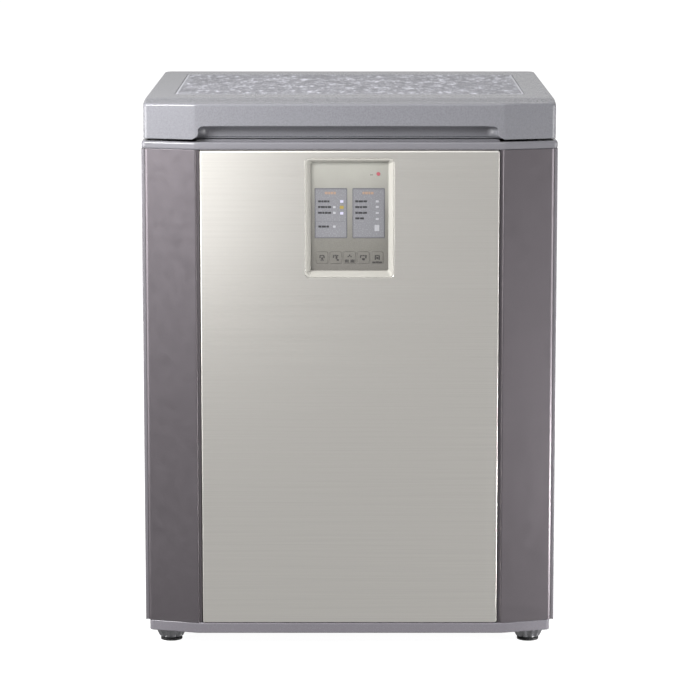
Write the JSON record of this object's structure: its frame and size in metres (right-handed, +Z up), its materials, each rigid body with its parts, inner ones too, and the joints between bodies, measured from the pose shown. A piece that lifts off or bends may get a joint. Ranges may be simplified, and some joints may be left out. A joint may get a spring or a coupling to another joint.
{
  "type": "kimchi refrigerator",
  "caption": "Chest refrigerator for fermented food with a rear-hinged top lid, brushed front panel, canted side pillars, recessed key panel, levelling feet and rear rollers.",
  "frame": {"origin": "centre of the footprint on the floor, under the feet and rollers", "axes": "+Z up, the front panel faces -Y, +X to the right of someone facing the front"},
  "size_m": [0.66, 0.65, 0.88],
  "materials": {
    "brushed_panel": "satin",
    "painted_side": "satin",
    "pillar_metallic": "satin",
    "grey_moulding": "satin",
    "base_moulding": "satin",
    "lid_inlay": "satin",
    "galvanised": "satin",
    "insulation": "matte",
    "packing_foam": "matte",
    "tub_aluminium": "satin",
    "copper": "satin",
    "black_enamel": "gloss",
    "black_rubber": "matte",
    "black_plastic": "matte",
    "white_plastic": "satin",
    "circuit_board": "satin",
    "key_plate": "satin",
    "display_window": "gloss",
    "light_guide": "satin",
    "red_lens": "gloss",
    "bright_steel": "polished",
    "grey_seal": "matte"
  },
  "bodies": {
    "cabinet": {"side_panel_left": "painted_side", "side_panel_right": "painted_side", "rear_panel": "galvanised", "front_inner_sheet": "galvanised", "front_panel": "brushed_panel", "panel_backing": "packing_foam", "pillar_trim_left": "pillar_metallic", "pillar_trim_right": "pillar_metallic", "top_frame": "grey_moulding", "base_frame": "base_moulding", "base_plate": "galvanised", "foam_body": "insulation", "inner_liner": "tub_aluminium", "evaporator_coil": "copper", "machine_cover": "galvanised", "cord_inlet": "black_plastic", "rear_screws": "bright_steel", "compressor": "black_enamel", "compressor_mounts": "black_rubber", "terminal_cover": "black_plastic", "condenser_coil": "black_enamel", "fan_bracket": "galvanised", "fan_motor": "black_plastic", "filter_drier": "copper", "refrigerant_lines": "copper", "main_pcb": "circuit_board", "pcb_box": "white_plastic", "wiring_harness": "black_rubber", "control_bezel": "key_plate", "display_plate": "key_plate", "window_left": "display_window", "window_right": "display_window", "status_leds": "light_guide", "power_indicator": "red_lens", "display_pcb": "circuit_board", "control_box": "black_plastic", "hinge_brackets": "bright_steel", "hinge_pins": "bright_steel", "hinge_springs": "bright_steel", "foot_sockets": "galvanised", "wheel_brackets": "galvanised", "wheel_axles": "bright_steel"},
    "lid": {"lid_cover": "grey_moulding", "lid_top_panel": "lid_inlay", "lid_foam": "insulation", "lid_inner_liner": "white_plastic", "lid_gasket": "grey_seal", "lid_knuckles": "galvanised"},
    "key_1": {"button_1": "key_plate"},
    "key_2": {"button_2": "key_plate"},
    "key_3": {"button_3": "key_plate"},
    "key_4": {"button_4": "key_plate"},
    "key_5": {"button_5": "key_plate"},
    "pad_left": {"foot_pad_left": "black_rubber"},
    "knob_left": {"foot_knob_left": "black_plastic"},
    "pad_right": {"foot_pad_right": "black_rubber"},
    "knob_right": {"foot_knob_right": "black_plastic"},
    "roller_left": {"rear_wheel_left": "black_plastic"},
    "roller_right": {"rear_wheel_right": "black_plastic"},
    "fan": {"fan_blade": "black_plastic"}
  },
  "joints": [
    {"name": "lid_hinge", "type": "hinge", "parent": "cabinet", "child": "lid", "pos_m": [0, 0.303, 0.838], "axis": [-1, 0, 0], "range_deg": [0, 80], "stiffness_Nm_per_rad": 11, "springref_deg": 80.21},
    {"name": "key_1_press", "type": "slide", "parent": "cabinet", "child": "key_1", "axis": [0, 1, 0], "range_m": [0, 0.001], "stiffness_N_per_m": 600, "springref_m": -0.0018},
    {"name": "key_2_press", "type": "slide", "parent": "cabinet", "child": "key_2", "axis": [0, 1, 0], "range_m": [0, 0.001], "stiffness_N_per_m": 600, "springref_m": -0.0018},
    {"name": "key_3_press", "type": "slide", "parent": "cabinet", "child": "key_3", "axis": [0, 1, 0], "range_m": [0, 0.001], "stiffness_N_per_m": 600, "springref_m": -0.0018},
    {"name": "key_4_press", "type": "slide", "parent": "cabinet", "child": "key_4", "axis": [0, 1, 0], "range_m": [0, 0.001], "stiffness_N_per_m": 600, "springref_m": -0.0018},
    {"name": "key_5_press", "type": "slide", "parent": "cabinet", "child": "key_5", "axis": [0, 1, 0], "range_m": [0, 0.001], "stiffness_N_per_m": 600, "springref_m": -0.0018},
    {"name": "foot_left_height", "type": "slide", "parent": "cabinet", "child": "pad_left", "axis": [0, 0, -1], "range_m": [0, 0.012]},
    {"name": "foot_left_turn", "type": "hinge", "parent": "pad_left", "child": "knob_left", "pos_m": [-0.29, -0.275, 0.01], "axis": [0, 0, -1], "range_deg": [0, 2881]},
    {"name": "foot_right_height", "type": "slide", "parent": "cabinet", "child": "pad_right", "axis": [0, 0, -1], "range_m": [0, 0.012]},
    {"name": "foot_right_turn", "type": "hinge", "parent": "pad_right", "child": "knob_right", "pos_m": [0.29, -0.275, 0.01], "axis": [0, 0, -1], "range_deg": [0, 2881]},
    {"name": "roller_left_spin", "type": "hinge", "parent": "cabinet", "child": "roller_left", "pos_m": [-0.283, 0.27, 0.017], "axis": [1, 0, 0], "continuous": true},
    {"name": "roller_right_spin", "type": "hinge", "parent": "cabinet", "child": "roller_right", "pos_m": [0.283, 0.27, 0.017], "axis": [1, 0, 0], "continuous": true},
    {"name": "fan_spin", "type": "hinge", "parent": "cabinet", "child": "fan", "pos_m": [0.01, 0.19, 0.125], "axis": [1, 0, 0], "continuous": true}
  ],
  "couplings": [
    {"joint": "foot_left_turn", "follows": "foot_left_height", "rad_per_m": 4188.8},
    {"joint": "foot_right_turn", "follows": "foot_right_height", "rad_per_m": 4188.8}
  ]
}
